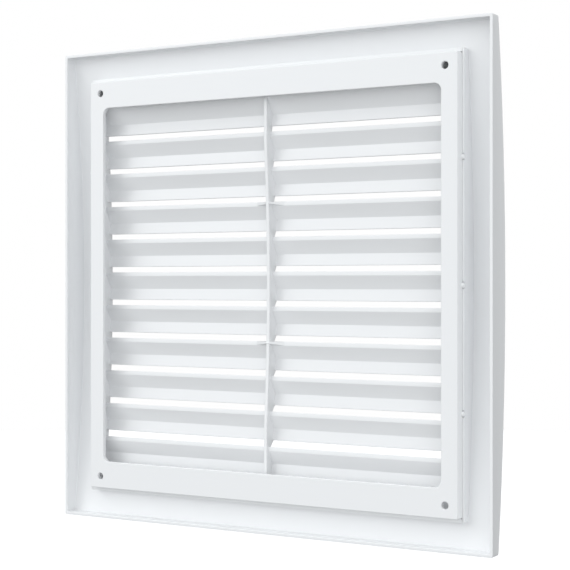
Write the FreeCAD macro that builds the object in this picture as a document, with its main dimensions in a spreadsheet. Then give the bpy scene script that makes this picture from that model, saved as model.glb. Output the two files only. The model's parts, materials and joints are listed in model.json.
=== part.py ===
"""Louvred air grille for a wall opening: a screwed mounting frame and the louvred front panel over it.

Millimetres. The origin is the centre of the screw pattern in the wall's plane, +Z is up, +X is to the right
for someone who faces the grille, and +Y points into the wall, so that the panel's front faces -Y.
"""
import FreeCAD, Part
import math
import os
import Sketcher

doc = FreeCAD.newDocument("LouvredAirGrille")

# ---------------------------------------------------------------------------------------------------------
# Driving sizes
# ---------------------------------------------------------------------------------------------------------
SIZES = [
    # the panel's outer shell
    ("panel_width", 250.0, "outside width of the front panel"),
    ("panel_height", 250.0, "outside height of the front panel"),
    ("crown_depth", 16.1, "how far the curved face stands off the wall at mid-height"),
    ("edge_depth", 7.6, "how far the face stands off the wall at its top and bottom edges"),
    ("shell_wall", 1.5, "thickness of the face and of the skirt round it"),
    ("edge_round", 0.9, "rounding of the shell's outer edges"),
    # the snap wall, a box of four thin walls behind the face
    ("side_overhang", 15.6, "from the panel's side edge in to the snap wall"),
    ("end_overhang", 14.1, "from the panel's top or bottom edge in to the snap wall"),
    ("snap_side_wall", 0.95, "thickness of the side snap walls"),
    ("snap_end_wall", 1.85, "thickness of the top and bottom snap walls"),
    ("rim_setback", 0.7, "how far the snap wall's rim lies in front of the frame plate's front face"),
    # the mounting frame: a plate against the wall, and a narrow flange in front of it, inside the snap wall
    ("flange_clearance", 0.15, "gap between the flange and the snap wall"),
    ("flange_thickness", 1.5, "thickness of the flange"),
    ("flange_width", 3.5, "width of the flange"),
    ("side_bevel", 1.0, "how far the plate's sides slope out on their way forward to the flange"),
    ("frame_thickness", 2.5, "thickness of the frame's plate"),
    ("frame_side_bar", 8.3, "width of the frame's upright bars"),
    ("frame_end_bar", 14.1, "height of the frame's top and bottom bars"),
    ("frame_corner", 1.0, "radius of the frame's outer corners"),
    ("window_corner", 3.5, "radius of the frame window's corners"),
    ("screw_hole", 3.6, "diameter of the four screw holes"),
    ("screw_inset_side", 6.3, "from the frame's side edge in to a screw hole's centre"),
    ("screw_inset_end", 6.1, "from the frame's top or bottom edge in to a screw hole's centre"),
    # the snap pegs on the flange's sides
    ("peg_size", 2.6, "diameter of a snap peg"),
    ("peg_depth", 3.4, "from the wall's plane to a peg's axis"),
    ("peg_proud", 0.4, "height of a peg's domed end outside the snap wall"),
    ("peg_spacing", 60.0, "between neighbouring pegs"),
    ("peg_clearance", 0.15, "gap round a peg in its notch"),
    # the ribs that carry the blades
    ("mullion_wall", 1.8, "thickness of the centre mullion"),
    ("cheek_wall", 1.8, "thickness of the cheek at each end of the blades"),
    ("cheek_setback", 5.8, "from the frame window's side out to a cheek's inner face"),
    ("frame_clearance", 2.3, "gap between the frame's front and the ribs' back edges"),
    ("rib_hollow", 2.8, "how far the ribs' back edges curve away from the frame at mid-height"),
    # the blades
    ("top_kink_inset", 8.25, "from the frame window's top down to the first blade's bend"),
    ("bottom_kink_inset", 4.15, "from the frame window's bottom up to the last blade's bend"),
    ("blade_wall", 1.45, "thickness of a blade"),
    ("lip_height", 5.9, "height of a blade's front lip"),
    ("lip_lean", 1.1, "how far the lip's lower edge leans back"),
    ("slope_height", 6.8, "height of a blade's sloping part, up to its tip"),
    ("slope_depth", 3.9, "how far the sloping part runs back"),
    ("tip_height", 2.1, "height of a blade's upright tip"),
    ("tip_land", 0.45, "thickness of the tip at its top"),
    ("top_blade_extra", 2.5, "how much further up the first blade's slope runs"),
    ("strip_margin", 0.1, "extra height of the first blade's flush strip, past the face"),
    ("mullion_dip", 1.8, "how far below a tip the mullion's front edge meets the blade"),
    # the small webs that tie two of the blades to the mullion
    ("web_length", 8.1, "length of a web along its blade"),
    ("web_rise", 1.1, "how far a web rises on its way back"),
    ("web_wall", 1.1, "thickness of a web"),
]
BLADE_ROWS = 11
WEB_ROWS = (4, 8)
PEG_ROWS = (-1, 0, 1)

sizes = doc.addObject("Spreadsheet::Sheet", "Sizes")
for row, (alias, value, meaning) in enumerate(SIZES, start=1):
    sizes.set(f"A{row}", alias.replace("_", " "))
    sizes.set(f"B{row}", str(value))
    sizes.set(f"C{row}", meaning)
    sizes.setAlias(f"B{row}", alias)
doc.recompute()

# ---------------------------------------------------------------------------------------------------------
# Sizes that follow from the driving ones
# ---------------------------------------------------------------------------------------------------------
FOLLOWING = [
    ("half_width", "Sizes.panel_width / 2"),
    ("half_height", "Sizes.panel_height / 2"),
    ("crown_rise", "Sizes.crown_depth - Sizes.edge_depth"),
    ("face_radius", "(Fit.half_height ^ 2 + Fit.crown_rise ^ 2) / (2 * Fit.crown_rise)"),
    ("face_axis", "Fit.face_radius - Sizes.crown_depth"),
    ("inner_radius", "Fit.face_radius - Sizes.shell_wall"),
    ("inner_half_height", "Fit.half_height - Sizes.shell_wall"),
    ("snap_outer_x", "Fit.half_width - Sizes.side_overhang"),
    ("snap_outer_z", "Fit.half_height - Sizes.end_overhang"),
    ("snap_inner_x", "Fit.snap_outer_x - Sizes.snap_side_wall"),
    ("snap_inner_z", "Fit.snap_outer_z - Sizes.snap_end_wall"),
    ("snap_rim", "Sizes.frame_thickness + Sizes.rim_setback"),
    ("flange_x", "Fit.snap_inner_x - Sizes.flange_clearance"),
    ("flange_z", "Fit.snap_inner_z - Sizes.flange_clearance"),
    ("frame_x", "Fit.flange_x - Sizes.side_bevel"),
    ("frame_z", "Fit.flange_z"),
    ("window_x", "Fit.frame_x - Sizes.frame_side_bar"),
    ("window_z", "Fit.frame_z - Sizes.frame_end_bar"),
    ("screw_x", "Fit.frame_x - Sizes.screw_inset_side"),
    ("screw_z", "Fit.frame_z - Sizes.screw_inset_end"),
    ("mullion_x", "Sizes.mullion_wall / 2"),
    ("cheek_x", "Fit.window_x + Sizes.cheek_setback"),
    ("blade_length", "Fit.cheek_x - Fit.mullion_x"),
    ("rib_back", "Sizes.frame_thickness + Sizes.frame_clearance"),
    ("rib_radius", "Fit.face_axis + Fit.rib_back + Sizes.rib_hollow"),
    ("rib_hollow_z", "sqrt(Fit.rib_radius ^ 2 - (Fit.rib_radius - Sizes.rib_hollow) ^ 2)"),
    ("top_kink", "Fit.window_z - Sizes.top_kink_inset"),
    ("bottom_kink", "Sizes.bottom_kink_inset - Fit.window_z"),
    ("louvre_pitch", f"(Fit.top_kink - Fit.bottom_kink) / {BLADE_ROWS - 1}"),
    ("opening_bottom", "Fit.bottom_kink - Sizes.lip_height"),
    # the blade's section: unit lengths along the lip and along the slope, then the front face's corners
    ("lip_run", "sqrt(Sizes.lip_lean ^ 2 + Sizes.lip_height ^ 2)"),
    ("slope_run", "sqrt(Sizes.slope_depth ^ 2 + Sizes.slope_height ^ 2)"),
    ("lip_slant", "Sizes.lip_lean / Sizes.lip_height"),
    ("slope_slant", "Sizes.slope_depth / Sizes.slope_height"),
    ("lip_front", "Sizes.blade_wall * Fit.lip_run / Sizes.lip_height"),
    ("slope_front", "Sizes.blade_wall * Fit.slope_run / Sizes.slope_height"),
    ("front_kink_z", "(Fit.slope_front - Fit.lip_front) / (Fit.lip_slant + Fit.slope_slant)"),
    ("front_kink_y", "Fit.lip_front + Fit.lip_slant * Fit.front_kink_z"),
    # the first blade is flush with the face up to where its slope has passed behind the face
    ("face_slant", "Fit.top_kink / sqrt(Fit.inner_radius ^ 2 - Fit.top_kink ^ 2)"),
    ("strip_height", "Fit.slope_front / (Fit.slope_slant - Fit.face_slant) + Sizes.strip_margin"),
    ("opening_top", "Fit.top_kink + Fit.strip_height"),
]
fit = doc.addObject("App::VarSet", "Fit")
for name, expression in FOLLOWING:
    fit.addProperty("App::PropertyFloat", name, "Fit")
    fit.setExpression(name, expression)
    doc.recompute()


def value_of(expression):
    """The number that an expression has now, used to start a sketch near its solved shape."""
    return float(sizes.evalExpression(expression))


def face_inner(height):
    """Y of the curved face's inner surface at a height, as an expression."""
    return f"(Fit.face_axis - sqrt(Fit.inner_radius ^ 2 - ({height}) ^ 2))"


def face_outer(height):
    """Y of the curved face's outer surface at a height, as an expression."""
    return f"(Fit.face_axis - sqrt(Fit.face_radius ^ 2 - ({height}) ^ 2))"


def rib_edge(height):
    """Y of the hollow back edge of the mullion and cheeks at a height, as an expression."""
    return f"(Fit.face_axis - sqrt(Fit.rib_radius ^ 2 - ({height}) ^ 2))"


def kink_height(row):
    """Height of a blade's bend, as an expression; rows count down from 1."""
    return f"(Fit.top_kink - {row - 1} * Fit.louvre_pitch)"


# ---------------------------------------------------------------------------------------------------------
# Sketch and feature helpers
# ---------------------------------------------------------------------------------------------------------
def new_body(label):
    body = doc.addObject("PartDesign::Body", label)
    body.Label = label
    return body


def new_sketch(body, name, plane):
    """A sketch on one of the body's own origin planes."""
    sketch = body.newObject("Sketcher::SketchObject", f"{body.Name}_{name}")
    plane_object = next(f for f in body.Origin.OriginFeatures if f.Role == plane)
    sketch.AttachmentSupport = [(plane_object, "")]
    sketch.MapMode = "FlatFace"
    return sketch


def bind(sketch, constraint, expression):
    index = sketch.addConstraint(constraint)
    sketch.setExpression(f"Constraints[{index}]", expression)


def arc_between(start, end, radius, left_turn):
    """An arc of less than half a circle from start to end, turning left or right on the way."""
    middle = (start + end) / 2
    chord = end - start
    offset = math.sqrt(max(radius ** 2 - (chord.Length / 2) ** 2, 0.0))
    side = FreeCAD.Vector(-chord.y, chord.x, 0).normalize()
    centre = middle + side * (offset if left_turn else -offset)
    first, last = (start, end) if left_turn else (end, start)
    angles = [math.atan2(p.y - centre.y, p.x - centre.x) for p in (first, last)]
    circle = Part.Circle(centre, FreeCAD.Vector(0, 0, 1), radius)
    return Part.ArcOfCircle(circle, angles[0], angles[1])


def outline(sketch, corners, arcs=None):
    """A closed outline. Corners are pairs of expressions; arcs maps an edge to (radius, left_turn)."""
    arcs = arcs or {}
    points = [FreeCAD.Vector(value_of(across), value_of(up), 0) for across, up in corners]
    first_edge = sketch.GeometryCount
    ends = []
    for edge, start in enumerate(points):
        end = points[(edge + 1) % len(points)]
        if edge in arcs:
            radius, left_turn = arcs[edge]
            number = sketch.addGeometry(arc_between(start, end, value_of(radius), left_turn))
            bind(sketch, Sketcher.Constraint("Radius", number, value_of(radius)), radius)
            ends.append((1, 2) if left_turn else (2, 1))
        else:
            sketch.addGeometry(Part.LineSegment(start, end))
            ends.append((1, 2))
    for edge, (across, up) in enumerate(corners):
        number, start = first_edge + edge, ends[edge][0]
        before = (edge - 1) % len(corners)
        joint = Sketcher.Constraint("Coincident", first_edge + before, ends[before][1], number, start)
        sketch.addConstraint(joint)
        point = points[edge]
        bind(sketch, Sketcher.Constraint("DistanceX", -1, 1, number, start, point.x), across)
        bind(sketch, Sketcher.Constraint("DistanceY", -1, 1, number, start, point.y), up)


def rounded_rectangle(sketch, half_x, half_z, radius):
    """A rectangle about the sketch's origin with rounded corners, anticlockwise from its lower right."""
    x, z, r = f"({half_x})", f"({half_z})", f"({radius})"
    corners = [
        (f"{x} - {r}", f"-{z}"), (x, f"-{z} + {r}"), (x, f"{z} - {r}"), (f"{x} - {r}", z),
        (f"-{x} + {r}", z), (f"-{x}", f"{z} - {r}"), (f"-{x}", f"-{z} + {r}"), (f"-{x} + {r}", f"-{z}"),
    ]
    outline(sketch, corners, {edge: (radius, True) for edge in (0, 2, 4, 6)})


def pad(body, sketch, length, symmetric=False):
    feature = body.newObject("PartDesign::Pad", f"{sketch.Name}_pad")
    feature.Profile = sketch
    feature.SideType = "Symmetric" if symmetric else "One side"
    feature.setExpression("Length", length)
    return feature


def cut_through(body, sketch, length=None):
    """A pocket to both sides of its sketch, through everything or of a given total length."""
    doc.recompute()
    before = body.Shape.Volume
    feature = body.newObject("PartDesign::Pocket", f"{sketch.Name}_pocket")
    feature.Profile = sketch
    feature.SideType = "Symmetric"
    if length is None:
        feature.Type = "ThroughAll"
    else:
        feature.setExpression("Length", length)
    doc.recompute()
    if not body.Shape.Volume < before:
        raise RuntimeError(f"{feature.Name} cuts nothing")
    return feature


def place(body, x=None, y=None, z=None):
    for axis, expression in (("x", x), ("y", y), ("z", z)):
        if expression is not None:
            body.setExpression(f"Placement.Base.{axis}", expression)


# ---------------------------------------------------------------------------------------------------------
# The front panel's shell: a face curved about a level axis, with a plain skirt back to the wall
# ---------------------------------------------------------------------------------------------------------
def front_shell():
    body = new_body("front_shell")
    block = new_sketch(body, "block", "YZ_Plane")
    half, edge = "Fit.half_height", "-Sizes.edge_depth"
    corners = [("0", f"-{half}"), ("0", half), (edge, half), (edge, f"-{half}")]
    outline(block, corners, {2: ("Fit.face_radius", True)})
    pad(body, block, "Sizes.panel_width", symmetric=True)
    doc.recompute()

    solid = body.Tip
    rim_free = [
        f"Edge{number}"
        for number, shape_edge in enumerate(solid.Shape.Edges, start=1)
        if min(vertex.Y for vertex in shape_edge.Vertexes) < -0.01
    ]
    rounding = body.newObject("PartDesign::Fillet", "front_shell_rounding")
    rounding.Base = (solid, rim_free)
    rounding.setExpression("Radius", "Sizes.edge_round")

    hollow = new_sketch(body, "hollow", "YZ_Plane")
    inner = "Fit.inner_half_height"
    open_end = "Sizes.shell_wall"
    corners = [
        (open_end, f"-{inner}"), (open_end, inner),
        (face_inner(inner), inner), (face_inner(inner), f"-{inner}"),
    ]
    outline(hollow, corners, {2: ("Fit.inner_radius", True)})
    cut_through(body, hollow, "Sizes.panel_width - 2 * Sizes.shell_wall")

    opening = new_sketch(body, "opening", "XZ_Plane")
    side, top, bottom = "Fit.cheek_x", "Fit.opening_top", "Fit.opening_bottom"
    outline(opening, [(f"-{side}", bottom), (side, bottom), (side, top), (f"-{side}", top)])
    cut_through(body, opening)
    return body


# ---------------------------------------------------------------------------------------------------------
# The snap wall: four thin walls that stand on the face's inner surface and reach back round the flange
# ---------------------------------------------------------------------------------------------------------
def snap_wall_end(label, sign):
    """The top (sign '') or bottom (sign '-') wall, which runs the whole width."""
    body = new_body(label)
    sketch = new_sketch(body, "section", "YZ_Plane")
    near, far = "Fit.snap_inner_z", "Fit.snap_outer_z"
    corners = [
        ("-Fit.snap_rim", f"{sign}{near}"), ("-Fit.snap_rim", f"{sign}{far}"),
        (face_inner(far), f"{sign}{far}"), (face_inner(near), f"{sign}{near}"),
    ]
    outline(sketch, corners)
    pad(body, sketch, "2 * Fit.snap_outer_x", symmetric=True)
    return body


def snap_wall_side(label, position):
    """A side wall between the top and bottom walls, notched at its rim for the frame's pegs."""
    body = new_body(label)
    sketch = new_sketch(body, "section", "YZ_Plane")
    half, rim = "Fit.snap_inner_z", "-Fit.snap_rim"
    corners = [(rim, f"-{half}"), (rim, half), (face_inner(half), half), (face_inner(half), f"-{half}")]
    outline(sketch, corners, {2: ("Fit.inner_radius", True)})
    pad(body, sketch, "Sizes.snap_side_wall")

    notches = new_sketch(body, "peg_notches", "YZ_Plane")
    radius = "(Sizes.peg_size / 2 + Sizes.peg_clearance)"
    for row in PEG_ROWS:
        centre = f"{row} * Sizes.peg_spacing"
        low, high = f"{centre} - {radius}", f"{centre} + {radius}"
        mouth, seat, back = "Sizes.peg_size", "-Sizes.peg_depth", f"-Sizes.peg_depth - {radius}"
        corners = [(mouth, low), (mouth, high), (seat, high), (back, centre), (seat, low)]
        outline(notches, corners, {2: (radius, True), 3: (radius, True)})
    cut_through(body, notches)
    place(body, x=position)
    return body


# ---------------------------------------------------------------------------------------------------------
# The ribs that carry the blades: a cheek at each end and the mullion in the middle
# ---------------------------------------------------------------------------------------------------------
def rib_back_corners():
    """The back edge from bottom to top: straight, hollow about mid-height, straight."""
    back, half, hollow = "-Fit.rib_back", "Fit.snap_inner_z", "Fit.rib_hollow_z"
    return [(back, f"-{half}"), (back, f"-{hollow}"), (back, hollow), (back, half)]


def cheek(label, position):
    body = new_body(label)
    sketch = new_sketch(body, "section", "YZ_Plane")
    half = "Fit.snap_inner_z"
    corners = rib_back_corners() + [(face_inner(half), half), (face_inner(half), f"-{half}")]
    outline(sketch, corners, {1: ("Fit.rib_radius", False), 4: ("Fit.inner_radius", True)})
    pad(body, sketch, "Sizes.cheek_wall")
    place(body, x=position)
    return body


def blade_front_corners(row):
    """The front of one blade from the bend down, in the panel's frame: bend, then the lip's lower edge."""
    height = kink_height(row)
    base = face_inner(height)
    lip_bottom = "(Fit.lip_front - Sizes.lip_lean)"
    return [
        (f"{base} - Fit.front_kink_y", f"{height} + Fit.front_kink_z"),
        (f"{base} - {lip_bottom}", f"{height} - Sizes.lip_height"),
    ]


def slope_meets_mullion(row):
    """Where the mullion's front edge comes down to a blade's sloping front."""
    height = kink_height(row)
    above = "(Sizes.slope_height + Sizes.tip_height - Sizes.mullion_dip)"
    forward = f"(Fit.slope_front - Fit.slope_slant * {above})"
    return (f"{face_inner(height)} - {forward}", f"{height} + {above}")


def centre_mullion():
    """A plate whose front edge follows the blades and steps back between them."""
    body = new_body("centre_mullion")
    sketch = new_sketch(body, "section", "YZ_Plane")
    half, top, bottom = "Fit.snap_inner_z", "Fit.opening_top", "Fit.opening_bottom"
    corners = rib_back_corners() + [(face_inner(half), half), (face_inner(top), top), (face_outer(top), top)]
    for row in range(1, BLADE_ROWS + 1):
        if row > 1:
            corners.append(slope_meets_mullion(row))
        corners.extend(blade_front_corners(row))
    corners.append((face_inner(bottom), bottom))
    last_arc = len(corners) - 1
    corners.append((face_inner(half), f"-{half}"))
    arcs = {
        1: ("Fit.rib_radius", False),
        4: ("Fit.inner_radius", True),
        last_arc: ("Fit.inner_radius", True),
    }
    outline(sketch, corners, arcs)
    pad(body, sketch, "Sizes.mullion_wall", symmetric=True)
    return body


# ---------------------------------------------------------------------------------------------------------
# The blades: a lip in the face, bent back into a slope that ends in an upright tip
# ---------------------------------------------------------------------------------------------------------
def blade_section(first_row):
    """The section about the bend of its back surface, as corners (y, z), anticlockwise seen from +X."""
    rise = "(Sizes.slope_height + Sizes.top_blade_extra)" if first_row else "Sizes.slope_height"
    top = f"({rise} + Sizes.tip_height)"
    tip_front = f"(Fit.slope_front - Fit.slope_slant * {top})"
    corners = [
        ("0", "0"),
        ("Sizes.lip_lean", "-Sizes.lip_height"),
        ("Sizes.lip_lean - Fit.lip_front", "-Sizes.lip_height"),
        ("-Fit.front_kink_y", "Fit.front_kink_z"),
    ]
    if first_row:
        strip = f"({face_outer('Fit.opening_top')} - {face_inner('Fit.top_kink')})"
        slope_at_strip = "(Fit.slope_front - Fit.slope_slant * Fit.strip_height)"
        corners += [(strip, "Fit.strip_height"), (f"-{slope_at_strip}", "Fit.strip_height")]
    corners += [
        (f"-{tip_front}", top),
        (f"-{tip_front} + Sizes.tip_land", top),
        (f"Fit.slope_slant * {rise}", rise),
    ]
    return corners


def blade(label, row, position):
    body = new_body(label)
    sketch = new_sketch(body, "section", "YZ_Plane")
    outline(sketch, blade_section(first_row=row == 1))
    pad(body, sketch, "Fit.blade_length")
    height = kink_height(row)
    place(body, x=position, y=face_inner(height), z=height)
    return body


def mullion_web(label, row, position):
    """A small shelf from a blade's tip back to the mullion's rear edge."""
    body = new_body(label)
    sketch = new_sketch(body, "section", "YZ_Plane")
    height = kink_height(row)
    top = "(Sizes.slope_height + Sizes.tip_height)"
    tip_front = f"(Fit.slope_front - Fit.slope_slant * {top})"
    back = f"({rib_edge(height)} - {face_inner(height)})"
    corners = [
        ("Sizes.slope_depth", "Sizes.slope_height"),
        (back, "Sizes.slope_height + Sizes.web_rise"),
        (back, "Sizes.slope_height + Sizes.web_rise + Sizes.web_wall"),
        (f"-{tip_front} + Sizes.tip_land", top),
    ]
    outline(sketch, corners)
    pad(body, sketch, "Sizes.web_length")
    place(body, x=position, y=face_inner(height), z=height)
    return body


# ---------------------------------------------------------------------------------------------------------
# The mounting frame: its plate, its flange and its pegs
# ---------------------------------------------------------------------------------------------------------
def mounting_frame():
    body = new_body("mounting_frame")
    plate = new_sketch(body, "plate", "XZ_Plane")
    rounded_rectangle(plate, "Fit.flange_x", "Fit.frame_z", "Sizes.frame_corner")
    pad(body, plate, "Sizes.frame_thickness")

    bevels = new_sketch(body, "side_bevels", "XY_Plane")
    back, foot, clear = "Fit.frame_x", "Fit.flange_x", "(Fit.flange_x + Sizes.side_bevel)"
    behind = "Sizes.side_bevel"
    for sign in ("", "-"):
        corners = [
            (f"{sign}{back}", "0"), (f"{sign}{foot}", "-Sizes.frame_thickness"),
            (f"{sign}{clear}", "-Sizes.frame_thickness"), (f"{sign}{clear}", behind),
            (f"{sign}{back}", behind),
        ]
        outline(bevels, corners)
    cut_through(body, bevels)

    window = new_sketch(body, "window", "XZ_Plane")
    rounded_rectangle(window, "Fit.window_x", "Fit.window_z", "Sizes.window_corner")
    cut_through(body, window)

    holes = new_sketch(body, "screw_holes", "XZ_Plane")
    radius = value_of("Sizes.screw_hole / 2")
    for side in (-1, 1):
        for end in (-1, 1):
            centre = FreeCAD.Vector(side * value_of("Fit.screw_x"), end * value_of("Fit.screw_z"), 0)
            number = holes.addGeometry(Part.Circle(centre, FreeCAD.Vector(0, 0, 1), radius))
            bind(holes, Sketcher.Constraint("Radius", number, radius), "Sizes.screw_hole / 2")
            across = Sketcher.Constraint("DistanceX", -1, 1, number, 3, centre.x)
            up = Sketcher.Constraint("DistanceY", -1, 1, number, 3, centre.y)
            bind(holes, across, f"{side} * Fit.screw_x")
            bind(holes, up, f"{end} * Fit.screw_z")
    cut_through(body, holes)
    return body


def frame_flange():
    """A narrow flat ring in front of the plate, flush with the foot of its bevelled sides."""
    body = new_body("frame_flange")
    ring = new_sketch(body, "ring", "XZ_Plane")
    rounded_rectangle(ring, "Fit.flange_x", "Fit.flange_z", "Sizes.frame_corner")
    pad(body, ring, "Sizes.flange_thickness")

    middle = new_sketch(body, "middle", "XZ_Plane")
    inner_x, inner_z = "Fit.flange_x - Sizes.flange_width", "Fit.flange_z - Sizes.flange_width"
    rounded_rectangle(middle, inner_x, inner_z, "Sizes.frame_corner")
    cut_through(body, middle)
    place(body, y="-Sizes.frame_thickness")
    return body


def snap_peg(label, side, row):
    """A round peg out of the flange's side edge, with a domed end just outside the snap wall."""
    body = new_body(label)
    sketch = new_sketch(body, "profile", "XY_Plane")
    radius, proud = "(Sizes.peg_size / 2)", "Sizes.peg_proud"
    shank = "(Sizes.flange_clearance + Sizes.snap_side_wall)"
    dome_radius = f"(({radius} ^ 2 + {proud} ^ 2) / (2 * {proud}))"
    corners = [("0", "0"), (f"{shank} + {proud}", "0"), (shank, radius), ("0", radius)]
    outline(sketch, corners, {1: (dome_radius, True)})
    turned = body.newObject("PartDesign::Revolution", f"{body.Name}_turned")
    turned.Profile = sketch
    turned.ReferenceAxis = (sketch, ["H_Axis"])
    turned.Angle = 360
    if side < 0:
        body.Placement.Rotation = FreeCAD.Rotation(FreeCAD.Vector(0, 0, 1), 180)
    place(body, x=f"{side} * Fit.flange_x", y="-Sizes.peg_depth", z=f"{row} * Sizes.peg_spacing")
    return body


def group(label, pieces):
    compound = doc.addObject("Part::Compound", label)
    compound.Label = label
    compound.Links = pieces
    return compound


# ---------------------------------------------------------------------------------------------------------
# The assembly
# ---------------------------------------------------------------------------------------------------------
pegs = []
for side in (-1, 1):
    for row in PEG_ROWS:
        pegs.append(snap_peg(f"peg_{side + 2}_{row + 2}", side, row))
nodes = [
    mounting_frame(),
    frame_flange(),
    group("snap_pegs", pegs),
    front_shell(),
    snap_wall_end("snap_wall_top", ""),
    snap_wall_end("snap_wall_bottom", "-"),
    snap_wall_side("snap_wall_left", "-Fit.snap_outer_x"),
    snap_wall_side("snap_wall_right", "Fit.snap_inner_x"),
    cheek("cheek_left", "-Fit.cheek_x - Sizes.cheek_wall"),
    cheek("cheek_right", "Fit.cheek_x"),
    centre_mullion(),
]
for row in range(1, BLADE_ROWS + 1):
    nodes.append(blade(f"blade_left_{row:02d}", row, "-Fit.cheek_x"))
    nodes.append(blade(f"blade_right_{row:02d}", row, "Fit.mullion_x"))
webs = []
for row in WEB_ROWS:
    webs.append(mullion_web(f"web_left_{row:02d}", row, "-Fit.mullion_x - Sizes.web_length"))
    webs.append(mullion_web(f"web_right_{row:02d}", row, "Fit.mullion_x"))
nodes.append(group("mullion_webs", webs))
doc.recompute()

faults = [item.Name for item in doc.Objects if {"Invalid", "Error"} & set(item.State)]
faults += [node.Label for node in nodes if node.Shape.isNull() or not node.Shape.isValid()]
if faults:
    raise RuntimeError("failed: " + ", ".join(faults))

os.makedirs("parts", exist_ok=True)
for node in nodes:
    node.Shape.exportStep(f"parts/{node.Label}.step")
    solids, volume = len(node.Shape.Solids), node.Shape.Volume
    box = node.Shape.BoundBox
    low, high = (box.XMin, box.YMin, box.ZMin), (box.XMax, box.YMax, box.ZMax)
    spans = "  ".join(f"{a:8.2f} {b:8.2f}" for a, b in zip(low, high))
    print(f"{node.Label:18s} solids {solids}  volume {volume:10.1f}  {spans}")
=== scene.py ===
"""Looks for the louvred air grille: a white moulded front panel over its mounting frame."""

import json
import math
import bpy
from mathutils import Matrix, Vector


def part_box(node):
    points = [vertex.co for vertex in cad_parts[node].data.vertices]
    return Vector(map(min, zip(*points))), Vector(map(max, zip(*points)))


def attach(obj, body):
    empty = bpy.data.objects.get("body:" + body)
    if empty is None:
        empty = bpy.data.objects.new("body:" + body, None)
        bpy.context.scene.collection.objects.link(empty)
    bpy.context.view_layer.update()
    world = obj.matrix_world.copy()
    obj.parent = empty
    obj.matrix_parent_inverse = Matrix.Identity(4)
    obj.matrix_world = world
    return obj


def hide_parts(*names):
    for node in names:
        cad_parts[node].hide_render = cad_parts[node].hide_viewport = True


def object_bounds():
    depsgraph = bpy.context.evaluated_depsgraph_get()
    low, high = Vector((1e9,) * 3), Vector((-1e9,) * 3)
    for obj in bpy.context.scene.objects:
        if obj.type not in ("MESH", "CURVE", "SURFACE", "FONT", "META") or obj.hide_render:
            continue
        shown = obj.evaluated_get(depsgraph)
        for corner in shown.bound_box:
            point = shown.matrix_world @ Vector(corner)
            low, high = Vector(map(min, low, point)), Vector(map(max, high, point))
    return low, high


bl_info = {
    "name": "Louvred Air Grille",
    "version": (1, 0, 0),
    "blender": (4, 5, 0),
    "location": "3D View > Sidebar > Grille",
    "description": "Builds the moulded panel, blades, ribs and mounting frame of a louvred air grille",
    "category": "Object",
}

import bpy
import numpy as np
from bpy.props import FloatProperty, FloatVectorProperty, PointerProperty
from mathutils import Vector
from mathutils.geometry import delaunay_2d_cdt

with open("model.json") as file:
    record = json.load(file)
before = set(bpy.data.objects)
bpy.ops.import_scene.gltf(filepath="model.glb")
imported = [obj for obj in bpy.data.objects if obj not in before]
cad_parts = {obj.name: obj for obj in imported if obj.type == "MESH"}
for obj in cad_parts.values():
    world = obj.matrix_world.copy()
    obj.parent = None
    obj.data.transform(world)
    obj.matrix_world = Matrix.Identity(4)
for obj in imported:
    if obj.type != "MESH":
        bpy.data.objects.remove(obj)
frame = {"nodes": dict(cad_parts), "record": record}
CAD_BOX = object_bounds()

BLADE_NODES = sorted(name for name in frame["nodes"] if name.startswith("blade_left_"))
WEB_ROWS = (4, 8)
"""Rows of blades, counted from the top, that webs tie to the mullion."""
PEG_ROWS = (-1, 0, 1)
"""Heights of the pegs on each side, counted in spacings from the middle."""
SIDES = (-1, 1)
FACE_POINTS, HOLLOW_POINTS, END_POINTS = 61, 41, 9
"""Points along an outline's curve: over the whole height, along the ribs' hollow, and above or below it."""
LAP = 0.0004
"""How far a member runs on into the one it is moulded to, so that no groove shows between them."""
FLUSH = 0.00001
"""How far behind a face a member lies that would otherwise share it."""
SLIT = 0.00002
"""Gap left between the mounting frame and the snap walls round it."""
SAME_POINT = 0.0000001
"""Distance under which two points of an outline are one."""
TINY = 0.000000001
"""Stands in for 0 in a division."""
CREASE = math.radians(40)
"""Angle between two faces from which the edge between them is shaded as a sharp one."""


# ---------------------------------------------------------------------------------------------------------
# What a user would change
# ---------------------------------------------------------------------------------------------------------
def length(name, description, default):
    return FloatProperty(name=name, description=description, default=default, unit="LENGTH", precision=5)


def colour(name, description, default):
    return FloatVectorProperty(
        name=name, description=description, default=default, subtype="COLOR", size=3, min=0.0, max=1.0,
    )


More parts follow.
